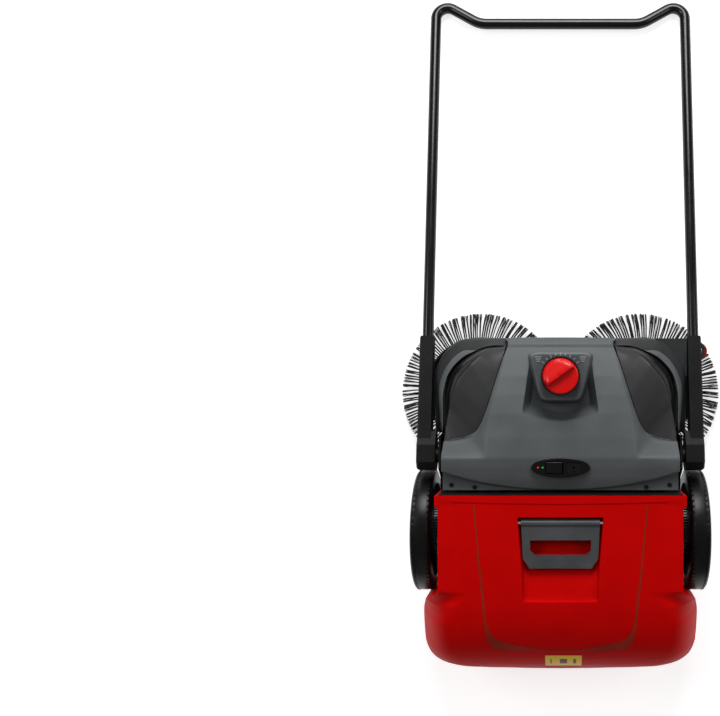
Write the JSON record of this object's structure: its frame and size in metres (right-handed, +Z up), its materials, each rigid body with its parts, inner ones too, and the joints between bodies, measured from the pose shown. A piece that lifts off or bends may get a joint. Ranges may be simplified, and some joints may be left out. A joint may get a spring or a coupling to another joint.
{
  "type": "push sweeper",
  "caption": "Walk-behind push sweeper: counter-turning disc brushes in front, roller brush, rear dirt container, two large wheels, height knob and fold-over handle.",
  "frame": {"origin": "on the floor, under the middle of the whole outline with the handle folded forwards", "axes": "+Z up, +Y the way the sweeper is pushed, +X to the right seen from behind; X = 0 is the machine's middle plane"},
  "size_m": [0.764, 1.5849, 0.329],
  "materials": {
    "black_plastic": "fine moulded texture, matte",
    "dark_grey_plastic": "satin moulded",
    "panel_grey_plastic": "satin moulded, fine grain",
    "gloss_black_plastic": "polished",
    "red_plastic": "satin gloss moulded",
    "grip_grey_plastic": "fine grain",
    "tyre_rubber": "moulded tread blocks",
    "rim_plastic": "gloss",
    "tube_black": "gloss powder coat",
    "steel": "turned",
    "bristle": "nylon filaments",
    "nylon_white": "natural nylon gears and bushes",
    "battery_blue": "shrink sleeve",
    "board_green": "solder resist",
    "light_lens": "clear tinted lens",
    "sticker_yellow": "vinyl film"
  },
  "bodies": {
    "chassis": {"lower_housing": "black_plastic", "top_cover": "dark_grey_plastic", "centre_panel": "panel_grey_plastic", "knob_pedestal": "panel_grey_plastic", "rear_deck": "panel_grey_plastic", "left_wing": "gloss_black_plastic", "right_wing": "gloss_black_plastic", "left_crescent": "panel_grey_plastic", "right_crescent": "panel_grey_plastic", "left_side_plate": "black_plastic", "right_side_plate": "black_plastic", "left_stub_axle": "steel", "right_stub_axle": "steel", "left_pivot_pin": "steel", "right_pivot_pin": "steel", "left_gearbox": "nylon_white", "right_gearbox": "nylon_white", "battery_pack": "battery_blue", "drive_motor": "steel", "drive_belt": "tyre_rubber", "control_board": "board_green", "switch_bezel": "gloss_black_plastic", "status_lights": "light_lens", "charge_socket": "black_plastic", "cover_screws": "tube_black", "roller_bracket": "dark_grey_plastic"},
    "handle": {"handle_tube": "tube_black", "left_arm": "black_plastic", "right_arm": "black_plastic", "handle_screws": "steel"},
    "left_wheel": {"left_tyre": "tyre_rubber", "left_rim": "rim_plastic", "left_hub_cap": "rim_plastic", "left_wheel_gear": "rim_plastic"},
    "right_wheel": {"right_tyre": "tyre_rubber", "right_rim": "rim_plastic", "right_hub_cap": "rim_plastic", "right_wheel_gear": "rim_plastic"},
    "roller_brush": {"roller_shaft": "black_plastic", "roller_bristles": "bristle", "roller_pinion": "nylon_white"},
    "left_brush": {"left_brush_plate": "black_plastic", "left_brush_bristles": "bristle", "left_brush_spindle": "steel"},
    "right_brush": {"right_brush_plate": "black_plastic", "right_brush_bristles": "bristle", "right_brush_spindle": "steel"},
    "cross_shaft": {"cross_shaft": "steel"},
    "knob": {"knob_ring": "black_plastic", "height_knob": "red_plastic", "height_spindle": "steel"},
    "support_slide": {"lift_yoke": "black_plastic", "support_fork": "black_plastic"},
    "support_wheel": {"support_roller": "tyre_rubber"},
    "rocker": {"power_rocker": "gloss_black_plastic"},
    "guide_wheel": {"guide_roller": "red_plastic"},
    "container": {"dirt_container": "red_plastic", "grip_pin": "steel", "container_sticker": "sticker_yellow"},
    "grip": {"container_grip": "grip_grey_plastic"}
  },
  "joints": [
    {"name": "handle_fold", "type": "hinge", "parent": "chassis", "child": "handle", "pos_m": [0, -0.2835, 0.2], "axis": [1, 0, 0], "range_deg": [0, 130]},
    {"name": "left_wheel_spin", "type": "hinge", "parent": "chassis", "child": "left_wheel", "pos_m": [-0.304, -0.458, 0.135], "axis": [-1, 0, 0], "continuous": true},
    {"name": "right_wheel_spin", "type": "hinge", "parent": "chassis", "child": "right_wheel", "pos_m": [0.304, -0.458, 0.135], "axis": [-1, 0, 0], "continuous": true},
    {"name": "roller_spin", "type": "hinge", "parent": "chassis", "child": "roller_brush", "pos_m": [0, -0.39069, 0.048], "axis": [-1, 0, 0], "continuous": true},
    {"name": "cross_shaft_spin", "type": "hinge", "parent": "chassis", "child": "cross_shaft", "pos_m": [0, -0.1465, 0.124], "axis": [-1, 0, 0], "continuous": true},
    {"name": "left_brush_spin", "type": "hinge", "parent": "chassis", "child": "left_brush", "pos_m": [-0.192, -0.1465, 0.0131], "axis": [0, -0.061, -0.9981], "continuous": true},
    {"name": "right_brush_spin", "type": "hinge", "parent": "chassis", "child": "right_brush", "pos_m": [0.192, -0.1465, 0.0131], "axis": [0, 0.061, 0.9981], "continuous": true},
    {"name": "height_turn", "type": "hinge", "parent": "chassis", "child": "knob", "pos_m": [0, -0.1085, 0.294], "axis": [0, 0, 1], "range_deg": [-150, 150]},
    {"name": "support_lift", "type": "slide", "parent": "chassis", "child": "support_slide", "axis": [0, 0, 1], "range_m": [-0.008, 0.008]},
    {"name": "support_roll", "type": "hinge", "parent": "support_slide", "child": "support_wheel", "pos_m": [0, -0.052, 0.02], "axis": [-1, 0, 0], "continuous": true},
    {"name": "rocker_tilt", "type": "hinge", "parent": "chassis", "child": "rocker", "pos_m": [-0.013, -0.3035, 0.283], "axis": [0, 1, 0], "range_deg": [0, 12]},
    {"name": "guide_roll", "type": "hinge", "parent": "chassis", "child": "guide_wheel", "pos_m": [0.321, -0.0505, 0.088], "axis": [0, 0, 1], "continuous": true},
    {"name": "container_slide", "type": "slide", "parent": "chassis", "child": "container", "axis": [0, -1, 0], "range_m": [0, 0.32]},
    {"name": "grip_lift", "type": "hinge", "parent": "container", "child": "grip", "pos_m": [0, -0.422, 0.279], "axis": [-1, 0, 0], "range_deg": [0, 95]}
  ],
  "couplings": [
    {"joint": "roller_spin", "follows": "left_wheel_spin", "ratio": -3.4},
    {"joint": "cross_shaft_spin", "follows": "left_wheel_spin", "ratio": 1.8},
    {"joint": "left_brush_spin", "follows": "left_wheel_spin", "ratio": 1.8},
    {"joint": "right_brush_spin", "follows": "left_wheel_spin", "ratio": 1.8},
    {"joint": "support_lift", "follows": "height_turn", "m_per_rad": 0.003}
  ]
}
